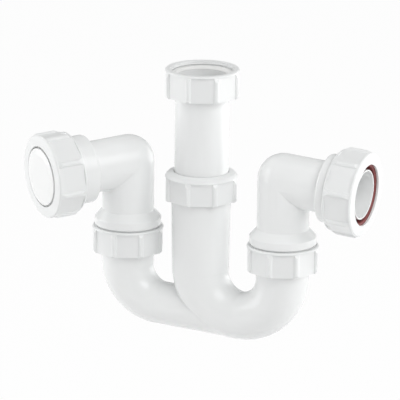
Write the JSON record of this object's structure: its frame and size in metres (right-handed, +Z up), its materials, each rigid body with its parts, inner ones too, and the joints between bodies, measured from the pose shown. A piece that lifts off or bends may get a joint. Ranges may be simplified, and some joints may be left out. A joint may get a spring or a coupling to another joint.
{
  "type": "sink trap",
  "caption": "White plastic sink trap with a telescopic inlet, a U-bend water seal, swivelling outlet elbows, compression nuts and a blanking plug.",
  "frame": {"origin": "centre of the inlet nut's open rim, on the axis of the inlet", "axes": "+Z up along the inlet, +X in the plane of the legs towards the open outlet's leg"},
  "size_m": [0.2663, 0.1085, 0.2065],
  "materials": {
    "pipe_plastic": "satin moulded polypropylene",
    "nut_plastic": "satin moulded polypropylene",
    "washer_plastic": "soft white washer",
    "seal_rubber": "dark red rubber"
  },
  "bodies": {
    "inlet": {"inlet_tube": "pipe_plastic", "inlet_washer": "washer_plastic"},
    "inlet_nut": {"inlet_nut": "nut_plastic"},
    "trap": {"trap_body": "pipe_plastic", "slip_seal": "seal_rubber", "slip_ring": "pipe_plastic", "left_union_seal": "seal_rubber", "right_union_seal": "seal_rubber"},
    "slip_nut": {"slip_nut": "nut_plastic"},
    "left_union_nut": {"left_union_nut": "nut_plastic"},
    "right_union_nut": {"right_union_nut": "nut_plastic"},
    "left_elbow": {"left_elbow": "pipe_plastic", "left_outlet_seal": "seal_rubber", "left_outlet_plug": "pipe_plastic"},
    "right_elbow": {"right_elbow": "pipe_plastic", "right_outlet_seal": "seal_rubber"},
    "left_outlet_nut": {"left_outlet_nut": "nut_plastic"},
    "right_outlet_nut": {"right_outlet_nut": "nut_plastic"}
  },
  "joints": [
    {"name": "inlet_nut_turn", "type": "hinge", "parent": "inlet", "child": "inlet_nut", "pos_m": [0, 0, 0], "axis": [0, 0, 1], "continuous": true},
    {"name": "height_slide", "type": "slide", "parent": "inlet", "child": "trap", "axis": [0, 0, 1], "range_m": [-0.01, 0.032]},
    {"name": "slip_nut_turn", "type": "hinge", "parent": "trap", "child": "slip_nut", "pos_m": [0, 0, -0.08], "axis": [0, 0, 1], "continuous": true},
    {"name": "left_union_nut_turn", "type": "hinge", "parent": "trap", "child": "left_union_nut", "pos_m": [-0.0605, 0, -0.0781], "axis": [0, 0, 1], "continuous": true},
    {"name": "right_union_nut_turn", "type": "hinge", "parent": "trap", "child": "right_union_nut", "pos_m": [0.0671, 0, -0.0781], "axis": [0, 0, 1], "continuous": true},
    {"name": "left_elbow_swivel", "type": "hinge", "parent": "trap", "child": "left_elbow", "pos_m": [-0.0605, 0, -0.0781], "axis": [0, 0, 1], "range_deg": [-165.9, 64.1]},
    {"name": "right_elbow_swivel", "type": "hinge", "parent": "trap", "child": "right_elbow", "pos_m": [0.0671, 0, -0.0781], "axis": [0, 0, 1], "range_deg": [-115, 115]},
    {"name": "left_outlet_nut_turn", "type": "hinge", "parent": "left_elbow", "child": "left_outlet_nut", "pos_m": [-0.0605, 0, -0.0781], "axis": [-0.6293, -0.7743, -0.0663], "continuous": true},
    {"name": "right_outlet_nut_turn", "type": "hinge", "parent": "right_elbow", "child": "right_outlet_nut", "pos_m": [0.0671, 0, -0.0781], "axis": [0.9978, 0, -0.0663], "continuous": true}
  ]
}
